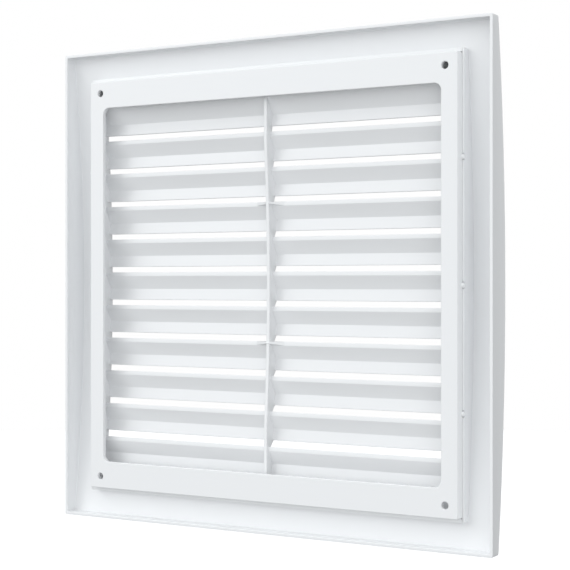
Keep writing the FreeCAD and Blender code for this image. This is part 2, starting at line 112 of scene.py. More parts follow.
class GrilleSizes(bpy.types.PropertyGroup):
    """Sizes of the mouldings that the frame's boxes don't give"""

    lip_height: length("Lip height", "Height of a blade's front lip", 0.0059)
    lip_lean: length("Lip lean", "How far the lip's lower edge leans back", 0.0011)
    slope_height: length("Slope height", "Height of a blade's sloping part", 0.0068)
    slope_depth: length("Slope depth", "How far the sloping part runs back", 0.0039)
    tip_height: length("Tip height", "Height of a blade's upright tip", 0.0021)
    tip_land: length("Tip land", "Thickness of the tip at its top", 0.00045)
    blade_wall: length("Blade wall", "Thickness of a blade", 0.00145)
    strip_margin: length("Strip margin", "Extra height of the first blade's flush strip", 0.0001)
    mullion_dip: length("Mullion dip", "How far below a tip the mullion meets the blade", 0.0018)
    rib_hollow: length("Rib hollow", "How far the ribs' back edges curve away at mid-height", 0.0028)
    web_rise: length("Web rise", "How far a web rises on its way back", 0.0011)
    web_wall: length("Web wall", "Thickness of a web", 0.0006)
    edge_round: length("Shell rounding", "Rounding of the shell's outer edges", 0.0009)
    inner_corner: length("Inner corner", "Rounding between the face and the skirt, inside", 0.0005)
    rib_round: length("Rib rounding", "Rounding of the ribs' and the frame's edges", 0.0003)
    rim_round: length("Rim rounding", "Rounding of the snap wall's rim", 0.00012)
    soft_edge: length("Soft edge", "Rounding of the blades' edges", 0.0002)
    screw_hole: length("Screw hole", "Diameter of the screw holes", 0.0036)
    window_corner: length("Window corner", "Radius of the frame window's corners", 0.0035)
    frame_corner: length("Frame corner", "Radius of the frame's outer corners", 0.001)
    frame_side_bar: length("Side bar", "Width of the frame's upright bars", 0.0083)
    frame_end_bar: length("End bar", "Height of the frame's top and bottom bars", 0.0141)
    side_bevel: length("Side bevel", "How far the frame's sides slope out towards the flange", 0.001)
    flange_width: length("Flange width", "Width of the frame's flange", 0.0035)
    peg_proud: length("Peg dome", "Height of a peg's domed end", 0.0004)
    peg_clearance: length("Peg clearance", "Gap round a peg in its notch", 0.0003)
    peg_spacing: length("Peg spacing", "Between neighbouring pegs", 0.06)


class GrilleFinish(bpy.types.PropertyGroup):
    """Colours and surface of the plastic"""

    panel_colour: colour("Panel colour", "Colour of the panel's plastic", (0.972, 0.977, 0.979))
    frame_colour: colour("Frame colour", "Colour of the mounting frame's plastic", (0.972, 0.977, 0.979))
    roughness: FloatProperty(
        name="Roughness", description="Roughness of the moulded surface", default=0.42, min=0.0, max=1.0,
    )
    grain: length("Grain size", "Size of the fine texture left by the mould", 0.0006)


# ---------------------------------------------------------------------------------------------------------
# Outlines: closed arrays of (across, up) points, anticlockwise round material and clockwise round holes
# ---------------------------------------------------------------------------------------------------------
def unit(vectors):
    return vectors / np.linalg.norm(vectors, axis=-1, keepdims=True)


def rounded(corners, radii, steps=4):
    """A closed outline with each corner turned on an arc of its radius.

    The arc's centre lies on the corner's bisector at radius / sin(half angle), and its points turn evenly
    from one tangent point to the other. A corner whose radius is 0 stays one point.
    """
    corners = np.asarray(corners, float)
    radii = np.broadcast_to(np.asarray(radii, float), len(corners))[:, None]
    to_last = unit(np.roll(corners, 1, axis=0) - corners)
    to_next = unit(np.roll(corners, -1, axis=0) - corners)
    half = 0.5 * np.arccos(np.clip((to_last * to_next).sum(1, keepdims=True), -1.0, 1.0))
    no_turn = math.pi / 2 - 0.001
    straight = (radii < TINY) | (half > no_turn)
    radius = np.where(straight, 0.0, radii)
    bisector = np.where(straight, 0.0, to_last + to_next)
    bisector /= np.maximum(np.linalg.norm(bisector, axis=1, keepdims=True), TINY)
    centre = corners + bisector * radius / np.sin(half)
    tangent = radius / np.tan(half)
    start, end = corners + to_last * tangent - centre, corners + to_next * tangent - centre
    turn = np.maximum(math.pi - 2 * half, TINY)[:, None]
    share = np.linspace(0.0, 1.0, steps + 1)[None, :, None]
    from_start, to_end = np.sin((1 - share) * turn), np.sin(share * turn)
    arcs = (from_start * start[:, None] + to_end * end[:, None]) / np.sin(turn)
    points = (centre[:, None] + arcs).reshape(-1, 2)
    gap = np.linalg.norm(points - np.roll(points, 1, axis=0), axis=1)
    return points[gap > SAME_POINT]


def joined(stretches, radius=0.0):
    """One outline through several stretches of points, rounded only where two stretches meet."""
    ends = [np.concatenate([[1.0], np.zeros(max(len(s) - 2, 0)), [1.0]])[:len(s)] for s in stretches]
    return rounded(np.concatenate(stretches), radius * np.concatenate(ends))


def rounded_square(half_x, low, high, radius, corner_steps, side_steps):
    """A closed rounded rectangle whose count of points doesn't depend on its size.

    Each corner is an arc about a centre one radius in from both sides, and each side is divided evenly.
    """
    centres = np.array([
        (half_x - radius, low + radius), (half_x - radius, high - radius),
        (radius - half_x, high - radius), (radius - half_x, low + radius),
    ])
    angle = (np.arange(4)[:, None] - 1) * math.pi / 2 + np.linspace(0.0, math.pi / 2, corner_steps + 1)
    arcs = centres[:, None] + radius * np.stack([np.cos(angle), np.sin(angle)], axis=-1)
    start, end = arcs[:, -1], np.roll(arcs[:, 0], -1, axis=0)
    share = np.arange(1, side_steps) / side_steps
    sides = start[:, None] + (end - start)[:, None] * share[None, :, None]
    return np.concatenate([arcs, sides], axis=1).reshape(-1, 2)


def hole_circle(centre, radius, count=48):
    """A clockwise circle: centre plus radius times (cosine, minus sine) of even angles."""
    angle = np.linspace(0.0, 2 * math.pi, count, endpoint=False)
    return np.array(centre) + radius * np.stack([np.cos(angle), -np.sin(angle)], axis=1)


def inset(outline, distance):
    """Moves each point into the material, so that both of its edges move in by the distance.

    The move is the sum of the two edges' unit normals, times distance / (1 + the normals' dot product).
    """
    edge = unit(np.roll(outline, -1, axis=0) - outline)
    normal = np.stack([-edge[:, 1], edge[:, 0]], axis=1)
    last = np.roll(normal, 1, axis=0)
    return outline + (normal + last) * distance / (1 + (normal * last).sum(1, keepdims=True))


def inside(points, outlines):
    """True for points with an odd number of outline crossings on the ray to their right."""
    odd = np.zeros(len(points), bool)
    for outline in outlines:
        a, b = outline[None], np.roll(outline, -1, axis=0)[None]
        p = points[:, None]
        spans = (a[..., 1] > p[..., 1]) != (b[..., 1] > p[..., 1])
        rise = np.where(spans, b[..., 1] - a[..., 1], 1.0)
        crossing = a[..., 0] + (p[..., 1] - a[..., 1]) * (b[..., 0] - a[..., 0]) / rise
        odd ^= (spans & (p[..., 0] < crossing)).sum(1) % 2 == 1
    return odd


# ---------------------------------------------------------------------------------------------------------
# Meshes: (vertices, rounded faces, flat faces), where faces are lists of index arrays
# ---------------------------------------------------------------------------------------------------------
def ring_quads(rings, count, closed=False):
    """Quads between neighbouring rings of count points each."""
    ring = np.arange(rings if closed else rings - 1)[:, None]
    point = np.arange(count)[None]
    after, above = (point + 1) % count, (ring + 1) % rings
    corners = [ring * count + point, ring * count + after, above * count + after, above * count + point]
    return np.stack(corners, axis=-1).reshape(-1, 4)


def fill(outlines):
    """Triangles over an outline with holes, by constrained Delaunay triangulation of its own points."""
    points = np.concatenate(outlines)
    starts = np.cumsum([0] + [len(outline) for outline in outlines])
    rings = [np.arange(a, b) for a, b in zip(starts[:-1], starts[1:])]
    edges = np.concatenate([np.stack([ring, np.roll(ring, -1)], axis=1) for ring in rings])
    millimetres = (points * 1000).tolist()
    found, _, cells, *_ = delaunay_2d_cdt(millimetres, edges.tolist(), [], 0, SAME_POINT)
    if len(found) != len(points):
        raise RuntimeError("an outline crosses itself or another")
    cells = np.array([list(cell) for cell in cells])
    return cells[inside(points[cells].mean(1), outlines)]


def plate_mesh(outlines, thickness, edge, place, steps=3):
    """A flat plate with rounded edges.

    Each outline is carried through the thickness on a quarter round, a straight wall and a quarter round:
    at angle a the round is inset by edge * (1 - sin a) at height edge * (1 - cos a).
    """
    angle = np.linspace(0.0, math.pi / 2, steps + 1)
    insets, heights = edge * (1 - np.sin(angle)), edge * (1 - np.cos(angle))
    insets = np.concatenate([insets, insets[::-1]])
    heights = np.concatenate([heights, thickness - heights[::-1]])
    vertices, walls, back, front, start = [], [], [], [], 0
    for outline in outlines:
        count = len(outline)
        for depth, height in zip(insets, heights):
            vertices.append(np.column_stack([inset(outline, depth), np.full(count, height)]))
        walls.append(ring_quads(len(insets), count) + start)
        back.append(np.arange(start, start + count))
        start += len(insets) * count
        front.append(np.arange(start - count, start))
    vertices = np.concatenate(vertices)
    cells = fill([vertices[ring, :2] for ring in back])
    flats = [np.concatenate(back)[cells][:, ::-1], np.concatenate(front)[cells]]
    return place(vertices), walls, flats


def combined(meshes):
    """Several meshes as one."""
    vertices, rounds, flats, start = [], [], [], 0
    for points, round_faces, flat_faces in meshes:
        vertices.append(points)
        rounds += [faces + start for faces in round_faces]
        flats += [faces + start for faces in flat_faces]
        start += len(points)
    return np.concatenate(vertices), rounds, flats


def volume(vertices, faces):
    """Six times the signed volume: the sum over fan triangles of a . (b x c)."""
    total = 0.0
    for block in faces:
        for k in range(1, block.shape[1] - 1):
            a, b, c = (vertices[block[:, column]] for column in (0, k, k + 1))
            total += float((a * np.cross(b, c)).sum())
    return total


def add_piece(node, mesh_data, body):
    """Makes the mesh with its faces outwards, and hangs it on its body in place of its CAD node."""
    vertices, rounds, flats = mesh_data
    faces = rounds + flats
    if volume(vertices, faces) < 0:
        faces = [block[:, ::-1] for block in faces]
    mesh = bpy.data.meshes.new(f"{node}_moulding")
    mesh.from_pydata(vertices.tolist(), [], [row for block in faces for row in block.tolist()])
    smooth = np.repeat([True] * len(rounds) + [False] * len(flats), [len(block) for block in faces])
    mesh.set_sharp_from_angle(angle=CREASE)
    mesh.polygons.foreach_set("use_smooth", smooth)
    mesh.update()
    piece = bpy.data.objects.new(f"{node}_moulding", mesh)
    bpy.context.scene.collection.objects.link(piece)
    slot = "frame_plastic" if body == "mounting_frame" else "panel_plastic"
    mesh.materials.append(plastic(bpy.context.scene, slot))
    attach(piece, body)
    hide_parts(node)


def upright(x_start):
    """Stands a plate drawn in (Y, Z) across X, from x_start on."""
    return lambda v: np.column_stack([x_start + v[:, 2], v[:, 0], v[:, 1]])


def on_wall(v):
    """Lays a plate drawn in (X, Z) on the wall's plane, growing away from the wall."""
    return np.column_stack([v[:, 0], -v[:, 2], v[:, 1]])


# ---------------------------------------------------------------------------------------------------------
# The panel's curve and places, worked out from the frame
# ---------------------------------------------------------------------------------------------------------
class Form:
    """The panel's shape in numbers: its face is a cylinder about a level axis behind the wall."""

    def __init__(self, sizes):
        shell_low, shell_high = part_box("front_shell")
        side_low, side_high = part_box("snap_wall_left")
        end_low, end_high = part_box("snap_wall_top")
        plate_low, plate_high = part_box("mounting_frame")
        flange_low, flange_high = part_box("frame_flange")
        cheek_low, cheek_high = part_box("cheek_right")
        first_low, first_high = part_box(BLADE_NODES[0])
        last_low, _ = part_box(BLADE_NODES[-1])
        self.half_x, self.half_z = shell_high.x, shell_high.z
        crown = -shell_low.y
        self.wall = crown + side_low.y
        self.rim_y = side_high.y
        self.snap_inner_x, self.snap_outer_x = -side_high.x, -side_low.x
        self.snap_inner_z, self.snap_outer_z = side_high.z, end_high.z
        sagitta = end_low.y - side_low.y
        self.inner_radius = (self.snap_inner_z ** 2 + sagitta ** 2) / (2 * sagitta)
        self.outer_radius = self.inner_radius + self.wall
        self.axis_y = self.outer_radius - crown
        self.frame_x, self.frame_z = plate_high.x - sizes.side_bevel, plate_high.z
        self.frame_depth = -plate_low.y
        self.flange_x, self.flange_z = self.snap_inner_x - SLIT, flange_high.z
        self.flange_depth = -flange_low.y
        self.window_x = self.frame_x - sizes.frame_side_bar
        self.window_z = self.frame_z - sizes.frame_end_bar
        self.cheek_x, self.cheek_wall = cheek_low.x, cheek_high.x - cheek_low.x
        self.mullion_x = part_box("centre_mullion")[1].x
        self.rib_y = cheek_high.y
        self.rib_radius = self.axis_y - self.rib_y + sizes.rib_hollow
        self.rib_hollow_z = math.sqrt(self.rib_radius ** 2 - (self.rib_radius - sizes.rib_hollow) ** 2)
        self.kinks = np.linspace(first_low.z, last_low.z, len(BLADE_NODES)) + sizes.lip_height
        self.first_rise = first_high.z - self.kinks[0] - sizes.tip_height
        self.lip_slant = sizes.lip_lean / sizes.lip_height
        self.slope_slant = sizes.slope_depth / sizes.slope_height
        self.lip_front = sizes.blade_wall * math.hypot(1.0, self.lip_slant)
        self.slope_front = sizes.blade_wall * math.hypot(1.0, self.slope_slant)
        self.bend_z = (self.slope_front - self.lip_front) / (self.lip_slant + self.slope_slant)
        self.bend_y = self.lip_front + self.lip_slant * self.bend_z
        face_slant = self.kinks[0] / math.sqrt(self.inner_radius ** 2 - self.kinks[0] ** 2)
        self.strip = self.slope_front / (self.slope_slant - face_slant) + sizes.strip_margin
        self.opening_top = self.kinks[0] + self.strip
        self.opening_bottom = last_low.z

    def at_radius(self, radius, z):
        """Y of a cylinder about the axis: the axis less the root of radius squared minus height squared."""
        return self.axis_y - np.sqrt(radius ** 2 - np.square(z))

    def outer(self, z):
        return self.at_radius(self.outer_radius, z)

    def inner(self, z):
        return self.at_radius(self.inner_radius, z)

    def in_face(self, z):
        """A line within the face's thickness, where members behind the face end."""
        return self.inner(z) - LAP

    def rib(self, z):
        return self.at_radius(self.rib_radius, z)


def curve(depth_of, start, end, count):
    """Points (depth, height) along one of the panel's curves, evenly spaced in height, ends included."""
    z = np.linspace(start, end, count)
    return np.column_stack([depth_of(z), z])


# ---------------------------------------------------------------------------------------------------------
# Plastic
# ---------------------------------------------------------------------------------------------------------
def plastic(scene, name):
    """One of the two plastics, made when it is first asked for."""
    finish = scene.grille_finish
    if name not in bpy.data.materials:
        base = finish.frame_colour if name == "frame_plastic" else finish.panel_colour
        moulded_plastic(name, tuple(base), finish)
    return bpy.data.materials[name]


def moulded_plastic(name, base, finish):
    """White moulded plastic: the mould's fine even grain, faint flow waves, and slightly uneven gloss."""
    darkest, lightest, gloss_change = 0.985, 1.012, 0.06
    tint_scale, gloss_scale, wave_scale = 18.0, 60.0, 30.0
    grain_depth, wave_depth = 0.00004, 0.0002
    material = bpy.data.materials.new(name)
    material.use_nodes = True
    nodes, links = material.node_tree.nodes, material.node_tree.links
    shader = nodes["Principled BSDF"]
    shader.inputs["IOR"].default_value = 1.5
    place = nodes.new("ShaderNodeTexCoord")

    def noise(scale, detail):
        node = nodes.new("ShaderNodeTexNoise")
        node.inputs["Scale"].default_value = scale
        node.inputs["Detail"].default_value = detail
        links.new(place.outputs["Object"], node.inputs["Vector"])
        return node.outputs["Fac"]

    def bump(height, strength, distance, before=None):
        node = nodes.new("ShaderNodeBump")
        node.inputs["Strength"].default_value = strength
        node.inputs["Distance"].default_value = distance
        links.new(height, node.inputs["Height"])
        if before:
            links.new(before, node.inputs["Normal"])
        return node.outputs["Normal"]

    tint = nodes.new("ShaderNodeMix")
    tint.data_type = "RGBA"
    tint.inputs["A"].default_value = (*(darkest * c for c in base), 1.0)
    tint.inputs["B"].default_value = (*(min(1.0, lightest * c) for c in base), 1.0)
    links.new(noise(tint_scale, detail=3.0), tint.inputs["Factor"])
    links.new(tint.outputs["Result"], shader.inputs["Base Color"])
    gloss = nodes.new("ShaderNodeMapRange")
    gloss.inputs["To Min"].default_value = finish.roughness - gloss_change
    gloss.inputs["To Max"].default_value = finish.roughness + gloss_change
    links.new(noise(gloss_scale, detail=4.0), gloss.inputs["Value"])
    links.new(gloss.outputs["Result"], shader.inputs["Roughness"])
    grain = bump(noise(1.0 / finish.grain, detail=2.0), strength=0.1, distance=grain_depth)
    waves = bump(noise(wave_scale, detail=1.0), strength=0.25, distance=wave_depth, before=grain)
    links.new(waves, shader.inputs["Normal"])


# ---------------------------------------------------------------------------------------------------------
# The front panel
# ---------------------------------------------------------------------------------------------------------
def shell_mesh(form, sizes):
    """The shell as one closed band of loops: rim, skirt, face, opening, face's inside, skirt's inside, rim.

    A loop is a rounded rectangle drawn in (X, Z), and a function of height gives its points' Y. The outer
    edge and the rim are quarter rounds: at angle a the loop is inset by radius * (1 - cos a) and set back
    by radius * (1 - sin a).
    """
    quarter = np.linspace(0.0, math.pi / 2, 6)
    across_face = np.linspace(0.0, 0.97, 12)
    outer_square = (form.half_x, -form.half_z, form.half_z)
    opening = (form.cheek_x, form.opening_bottom, form.opening_top)
    soft, edge, inner_corner = sizes.soft_edge, sizes.edge_round, sizes.inner_corner
    loops = []

    def add(square, inward, depth, radius):
        half_x, low, high = square
        loop = rounded_square(
            half_x - inward, low + inward, high - inward, radius, corner_steps=6, side_steps=72,
        )
        loops.append(np.column_stack([loop[:, 0], depth(loop[:, 1]), loop[:, 1]]))

    def add_face(depth, inward, shares):
        for share in shares:
            square = tuple(
                a + (b - a) * share
                for a, b in zip((form.half_x - inward, inward - form.half_z, form.half_z - inward), opening)
            )
            add(square, 0.0, depth, inner_corner)

    for a in quarter:
        add(outer_square, soft * (1 - math.sin(a)), lambda z: -soft * (1 - math.cos(a)) + 0 * z, edge)
    add(outer_square, 0.0, lambda z: form.outer(z) + 2 * edge, edge)
    for a in quarter:
        inward = edge * (1 - math.cos(a))
        add(outer_square, inward, lambda z: form.outer(z) + edge * (1 - math.sin(a)), edge - inward / 2)
    add_face(form.outer, 2 * edge, across_face)
    for a in quarter:
        outward = soft * (1 - math.sin(a))
        add(opening, -outward, lambda z: form.outer(z) + soft * (1 - math.cos(a)), 2 * soft)
    for a in quarter[::-1]:
        outward = soft * (1 - math.sin(a))
        add(opening, -outward, lambda z: form.inner(z) - soft * (1 - math.cos(a)), 2 * soft)
    add_face(form.inner, form.wall + 2 * inner_corner, across_face[::-1])
    for a in quarter:
        inward = form.wall + inner_corner * (1 - math.sin(a))
        add(outer_square, inward, lambda z: form.inner(z) + inner_corner * (1 - math.cos(a)), inner_corner)
    add(outer_square, form.wall, lambda z: -2 * soft + 0 * z, inner_corner)
    for a in quarter:
        outward = soft * (1 - math.cos(a))
        add(outer_square, form.wall - outward, lambda z: -soft * (1 - math.sin(a)) + 0 * z, inner_corner)
    return np.concatenate(loops), [ring_quads(len(loops), len(loops[0]), closed=True)], []


def snap_side_outline(form, sizes):
    """A side snap wall in (Y, Z): its rim with a U notch for each peg, and its front edge within the face.

    A notch is an arc round its peg's axis, a clearance larger than the peg, with a flared mouth at the rim.
    """
    peg_low, peg_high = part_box("snap_pegs")
    radius = (peg_high.y - peg_low.y) / 2 + sizes.peg_clearance
    seat = (peg_high.y + peg_low.y) / 2
    flare, arc_start = 1.12, 0.4
    angle = np.linspace(arc_start, math.pi - arc_start, 15)
    arc = np.column_stack([seat - radius * np.sin(angle), -radius * np.cos(angle)])
    mouth = np.array([(form.rim_y, flare * radius)])
    notch = np.concatenate([mouth * np.array([1.0, -1.0]), arc, mouth])
    half = form.snap_outer_z
    notches = [notch + np.array([0.0, row * sizes.peg_spacing]) for row in PEG_ROWS]
    front = curve(form.in_face, half, -half, FACE_POINTS)
    return np.concatenate([[(form.rim_y, -half)], *notches, [(form.rim_y, half)], front])


def snap_end_outline(form, sizes, sign):
    """The top or bottom snap wall in (Y, Z)."""
    low, high = sorted((sign * form.snap_inner_z, sign * form.snap_outer_z))
    corners = [(form.rim_y, low), (form.rim_y, high), (form.in_face(high), high), (form.in_face(low), low)]
    radius = 1.2 * sizes.rim_round
    return rounded(corners, [radius, radius, 0.0, 0.0])


def rib_back(form, half):
    """The ribs' back edge from bottom to top: straight, hollow about mid-height, straight."""
    hollow = curve(form.rib, -form.rib_hollow_z, form.rib_hollow_z, HOLLOW_POINTS)
    return [np.array([(form.rib_y, -half)]), hollow, np.array([(form.rib_y, half)])]


def cheek_outline(form):
    half = form.snap_inner_z + LAP
    return joined(rib_back(form, half) + [curve(form.in_face, half, -half, FACE_POINTS)])


def mullion_outline(form, sizes):
    """The mullion in (Y, Z): its front edge follows each blade's bend and lip, and steps back between."""
    half = form.snap_inner_z + LAP
    base = form.inner(form.kinks)
    lip_bottom = np.column_stack([base + sizes.lip_lean - form.lip_front, form.kinks - sizes.lip_height])
    bend = np.column_stack([base - form.bend_y, form.kinks + form.bend_z])
    above = sizes.slope_height + sizes.tip_height - sizes.mullion_dip
    meets = np.column_stack([base - form.slope_front + form.slope_slant * above, form.kinks + above])
    steps = np.stack([meets, bend, lip_bottom], axis=1).reshape(-1, 2)[1:] + np.array([LAP / 2, 0.0])
    top = curve(form.in_face, half, form.opening_top, END_POINTS)
    bottom = curve(form.in_face, form.opening_bottom, -half, END_POINTS)
    return joined(rib_back(form, half) + [top, steps, bottom])


def blade_outline(form, sizes, row):
    """A blade's section about its bend: lip, front, tip and sloping back, all with soft corners."""
    soft, first = sizes.soft_edge, row == 0
    rise = form.first_rise if first else sizes.slope_height
    top = rise + sizes.tip_height
    tip_front = form.slope_front - form.slope_slant * top
    corners = [
        (0.0, 0.0),
        (sizes.lip_lean, -sizes.lip_height),
        (sizes.lip_lean - form.lip_front, -sizes.lip_height),
        (-form.bend_y, form.bend_z),
    ]
    radii = [3 * soft, 1.5 * soft, 1.5 * soft, 2 * soft]
    if first:
        lap = form.strip + 2 * soft
        front = form.outer(form.kinks[0] + lap) - form.inner(form.kinks[0]) + FLUSH
        corners += [(front, lap), (form.slope_slant * lap - form.slope_front, lap)]
        radii += [0.0, 0.0]
    corners += [(-tip_front, top), (sizes.tip_land - tip_front, top), (form.slope_slant * rise, rise)]
    radii += [0.3 * sizes.tip_land, 0.4 * sizes.tip_land, 2 * soft]
    return rounded(corners, radii) + np.array([form.inner(form.kinks[row]), form.kinks[row]])


def web_outline(form, sizes, row):
    """A web's section: a thin shelf from a blade's tip up and back to the ribs' back edge."""
    kink = form.kinks[row - 1]
    back = form.rib(kink) - form.inner(kink)
    rise, top = sizes.slope_height + sizes.web_rise, sizes.slope_height + sizes.tip_height
    tip_back = sizes.tip_land - form.slope_front + form.slope_slant * top
    corners = [
        (sizes.slope_depth - LAP, sizes.slope_height),
        (back, rise),
        (back, rise + sizes.web_wall),
        (tip_back - FLUSH, top),
    ]
    radius = 1.5 * sizes.soft_edge
    return rounded(corners, [0.0, radius, radius, 0.0]) + np.array([form.inner(kink), kink])


def tapered(mesh_data, end_share):
    """Narrows a web evenly with depth, from its whole length at the blade to a share of it at its back."""
    vertices, rounds, flats = mesh_data
    depth = vertices[:, 1]
    share = (depth - depth.min()) / (depth.max() - depth.min())
    vertices[:, 0] *= 1 - share * (1 - end_share)
    return vertices, rounds, flats


class GRILLE_OT_shell(bpy.types.Operator):
    """Make the curved front shell with its skirt and louvre opening"""

    bl_idname = "grille.shell"
    bl_label = "Front shell"

    def execute(self, context):
        sizes = context.scene.grille_sizes
        add_piece("front_shell", shell_mesh(Form(sizes), sizes), "front_panel")
        return {"FINISHED"}


class GRILLE_OT_snap_walls(bpy.types.Operator):
    """Make the four thin walls that grip the mounting frame"""

    bl_idname = "grille.snap_walls"
    bl_label = "Snap walls"

    def execute(self, context):
        sizes = context.scene.grille_sizes
        form, edge = Form(sizes), sizes.rim_round
        thickness = form.snap_outer_x - form.snap_inner_x
        outline = snap_side_outline(form, sizes)
        for side, x_start in (("left", -form.snap_outer_x), ("right", form.snap_inner_x)):
            mesh = plate_mesh([outline], thickness, edge, upright(x_start))
            add_piece(f"snap_wall_{side}", mesh, "front_panel")
        span = form.snap_inner_x + LAP
        for end, sign in (("top", 1), ("bottom", -1)):
            mesh = plate_mesh([snap_end_outline(form, sizes, sign)], 2 * span, edge, upright(-span))
            add_piece(f"snap_wall_{end}", mesh, "front_panel")
        return {"FINISHED"}


class GRILLE_OT_ribs(bpy.types.Operator):
    """Make the centre mullion and the cheek at each end of the blades"""

    bl_idname = "grille.ribs"
    bl_label = "Mullion and cheeks"

    def execute(self, context):
        sizes = context.scene.grille_sizes
        form, edge = Form(sizes), sizes.rib_round
        outline = cheek_outline(form)
        for side, x_start in (("left", -form.cheek_x - form.cheek_wall), ("right", form.cheek_x)):
            mesh = plate_mesh([outline], form.cheek_wall, edge, upright(x_start))
            add_piece(f"cheek_{side}", mesh, "front_panel")
        outline = mullion_outline(form, sizes)
        mesh = plate_mesh([outline], 2 * form.mullion_x, edge, upright(-form.mullion_x))
        add_piece("centre_mullion", mesh, "front_panel")
        return {"FINISHED"}


class GRILLE_OT_blades(bpy.types.Operator):
    """Make the rows of louvre blades, left and right of the mullion"""

    bl_idname = "grille.blades"
    bl_label = "Louvre blades"

    def execute(self, context):
        sizes = context.scene.grille_sizes
        form = Form(sizes)
        span = form.cheek_x + LAP
        for row, left in enumerate(BLADE_NODES):
            outline = blade_outline(form, sizes, row)
            for node, x_start in ((left, -span), (left.replace("left", "right"), 0.0)):
                mesh = plate_mesh([outline], span, FLUSH, upright(x_start), steps=1)
                add_piece(node, mesh, "front_panel")
        return {"FINISHED"}


class GRILLE_OT_webs(bpy.types.Operator):
    """Make the small webs that tie two rows of blades to the mullion"""

    bl_idname = "grille.webs"
    bl_label = "Mullion webs"

    def execute(self, context):
        sizes = context.scene.grille_sizes
        form = Form(sizes)
        low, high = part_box("mullion_webs")
        outlines = [web_outline(form, sizes, row) for row in WEB_ROWS]
        webs = []
        for outline in outlines:
            web = plate_mesh([outline], high.x - low.x, sizes.soft_edge, upright(low.x))
            webs.append(tapered(web, form.mullion_x / high.x))
        add_piece("mullion_webs", combined(webs), "front_panel")
        return {"FINISHED"}


# ---------------------------------------------------------------------------------------------------------
# The mounting frame
# ---------------------------------------------------------------------------------------------------------
def square_ring(half_x, half_z, radius, hole_x, hole_z, hole_radius):
    """A rounded rectangle and the rounded rectangular hole in it."""
    outside = rounded_square(half_x, -half_z, half_z, radius, corner_steps=8, side_steps=4)
    hole = rounded_square(hole_x, -hole_z, hole_z, hole_radius, corner_steps=12, side_steps=4)
    return [outside, hole[::-1]]


def bevelled(vertices, form, bevel):
    """Slopes the plate's sides: x shrinks towards the wall by the bevel times the share of the depth left.

    The shrinking fades out over twice the bevel inwards from the side, so the window and holes stay put.
    """
    x, y = vertices[:, 0], vertices[:, 1]
    near_side = np.clip((np.abs(x) - form.flange_x) / (2 * bevel) + 1, 0.0, 1.0)
    depth_left = np.clip(1 + y / form.frame_depth, 0.0, 1.0)
    vertices[:, 0] = x - np.sign(x) * bevel * near_side * depth_left
    return vertices


class GRILLE_OT_frame(bpy.types.Operator):
    """Make the mounting frame's plate, with its window and screw holes, and the flange in front of it"""

    bl_idname = "grille.frame"
    bl_label = "Mounting frame"

    def execute(self, context):
        sizes = context.scene.grille_sizes
        form = Form(sizes)
        mount = next(m for m in frame["record"]["mounts"] if m["name"] == "wall_screws")
        across, up = mount["dims"]["spacing_x_mm"] / 2000, mount["dims"]["spacing_y_mm"] / 2000
        corner = sizes.frame_corner
        window = (form.window_x, form.window_z, sizes.window_corner)
        outlines = square_ring(form.flange_x, form.frame_z, corner, *window)
        for side in SIDES:
            outlines += [hole_circle((side * across, end * up), sizes.screw_hole / 2) for end in SIDES]
        vertices, rounds, flats = plate_mesh(outlines, form.frame_depth, sizes.rib_round, on_wall)
        plate = (bevelled(vertices, form, sizes.side_bevel), rounds, flats)
        add_piece("mounting_frame", plate, "mounting_frame")
        inner_x, inner_z = form.flange_x - sizes.flange_width, form.flange_z - sizes.flange_width
        outer_x, outer_z = form.flange_x - FLUSH, form.flange_z - FLUSH
        ring = square_ring(outer_x, outer_z, corner, inner_x, inner_z, corner)
        start = form.frame_depth - sizes.rib_round
        vertices, rounds, flats = plate_mesh(ring, form.flange_depth - start, sizes.soft_edge, on_wall)
        vertices[:, 1] -= start
        flange = (bevelled(vertices, form, sizes.side_bevel), rounds, flats)
        add_piece("frame_flange", flange, "mounting_frame")
        return {"FINISHED"}


def peg_mesh(radius, reach, proud, around=32, steps=8):
    """A round peg along X with a domed end, turned from its profile and closed by a point at each end.

    The dome is a sphere's cap of radius (r^2 + h^2) / 2h: at angle a from the axis its profile is that
    radius times (cosine, sine), moved so that the cap ends at the peg's reach.
    """
    cap = (radius ** 2 + proud ** 2) / (2 * proud)
    angle = np.linspace(math.asin(radius / cap), 0.0, steps + 1)[:-1]
    dome = np.column_stack([reach - cap * (1 - np.cos(angle)), cap * np.sin(angle)])
    profile = np.concatenate([[(-LAP, radius)], dome])
    turn = np.linspace(0.0, 2 * math.pi, around, endpoint=False)
    along = np.repeat(profile[:, :1], around, axis=1)
    rings = np.stack([along, profile[:, 1:] * np.cos(turn), profile[:, 1:] * np.sin(turn)], axis=-1)
    ring, after = np.arange(around), (np.arange(around) + 1) % around
    last, base = steps * around, (steps + 1) * around
    caps = [
        np.stack([np.full(around, base), after, ring], axis=1),
        np.stack([np.full(around, base + 1), last + ring, last + after], axis=1),
    ]
    vertices = np.concatenate([rings.reshape(-1, 3), [(-LAP, 0.0, 0.0), (reach, 0.0, 0.0)]])
    return vertices, [ring_quads(steps + 1, around)] + caps, []


class GRILLE_OT_pegs(bpy.types.Operator):
    """Make the round pegs on the flange's sides"""

    bl_idname = "grille.pegs"
    bl_label = "Snap pegs"

    def execute(self, context):
        sizes = context.scene.grille_sizes
        form = Form(sizes)
        low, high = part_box("snap_pegs")
        depth = (high.y + low.y) / 2
        vertices, rounds, _ = peg_mesh((high.y - low.y) / 2, high.x - form.flange_x, sizes.peg_proud)
        pegs = []
        for side in SIDES:
            for row in PEG_ROWS:
                turned = vertices * np.array([side, side, 1.0])
                place = np.array([side * form.flange_x, depth, row * sizes.peg_spacing])
                pegs.append((turned + place, rounds, []))
        add_piece("snap_pegs", combined(pegs), "mounting_frame")
        return {"FINISHED"}


